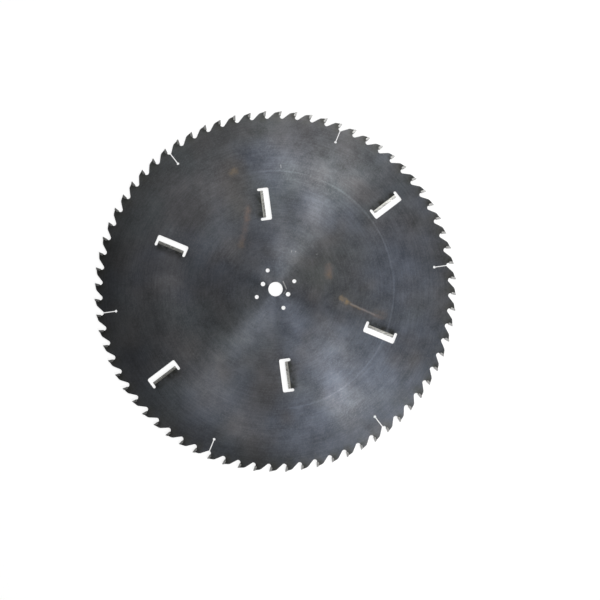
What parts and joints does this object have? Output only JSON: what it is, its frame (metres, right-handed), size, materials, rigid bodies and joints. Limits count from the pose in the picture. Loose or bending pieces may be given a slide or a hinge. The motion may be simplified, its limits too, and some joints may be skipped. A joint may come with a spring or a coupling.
{
  "type": "circular saw blade",
  "caption": "Large carbide-tipped circular saw blade: flat steel plate with hooked teeth, alternate-bevel tips, expansion slots, radial wiper strips in windows, arbor bore and pin holes.",
  "frame": {"origin": "centre of the arbor bore, at the plate's mid-thickness", "axes": "+Z along the bore, out of the face that the picture shows; +X through the first expansion slot; seen from +Z the teeth cut clockwise"},
  "size_m": [0.8, 0.8, 0.0056],
  "materials": {
    "plate_steel": "circular ground tool steel, darkened by oil and age, with brown stains",
    "tip_carbide": "ground sintered carbide, pale grey",
    "wiper_carbide": "ground sintered carbide, grey",
    "silver_solder": "cleaned silver solder, pale and satin"
  },
  "bodies": {
    "root": {"saw_plate": "plate_steel", "tip_pair_01": "tip_carbide", "tip_pair_02": "tip_carbide", "tip_pair_03": "tip_carbide", "tip_pair_04": "tip_carbide", "tip_pair_05": "tip_carbide", "tip_pair_06": "tip_carbide", "tip_pair_07": "tip_carbide", "tip_pair_08": "tip_carbide", "tip_pair_09": "tip_carbide", "tip_pair_10": "tip_carbide", "tip_pair_11": "tip_carbide", "tip_pair_12": "tip_carbide", "tip_pair_13": "tip_carbide", "tip_pair_14": "tip_carbide", "tip_pair_15": "tip_carbide", "tip_pair_16": "tip_carbide", "tip_pair_17": "tip_carbide", "tip_pair_18": "tip_carbide", "tip_pair_19": "tip_carbide", "tip_pair_20": "tip_carbide", "tip_pair_21": "tip_carbide", "tip_pair_22": "tip_carbide", "tip_pair_23": "tip_carbide", "tip_pair_24": "tip_carbide", "tip_pair_25": "tip_carbide", "tip_pair_26": "tip_carbide", "tip_pair_27": "tip_carbide", "tip_pair_28": "tip_carbide", "tip_pair_29": "tip_carbide", "tip_pair_30": "tip_carbide", "tip_pair_31": "tip_carbide", "tip_pair_32": "tip_carbide", "tip_pair_33": "tip_carbide", "tip_pair_34": "tip_carbide", "tip_pair_35": "tip_carbide", "tip_pair_36": "tip_carbide", "tip_solder_1": "silver_solder", "tip_solder_2": "silver_solder", "tip_solder_3": "silver_solder", "tip_solder_4": "silver_solder", "tip_solder_5": "silver_solder", "tip_solder_6": "silver_solder", "wiper_1": "wiper_carbide", "wiper_2": "wiper_carbide", "wiper_3": "wiper_carbide", "wiper_4": "wiper_carbide", "wiper_5": "wiper_carbide", "wiper_6": "wiper_carbide", "wiper_solder_1": "silver_solder", "wiper_solder_2": "silver_solder", "wiper_solder_3": "silver_solder", "wiper_solder_4": "silver_solder", "wiper_solder_5": "silver_solder", "wiper_solder_6": "silver_solder"}
  },
  "joints": []
}
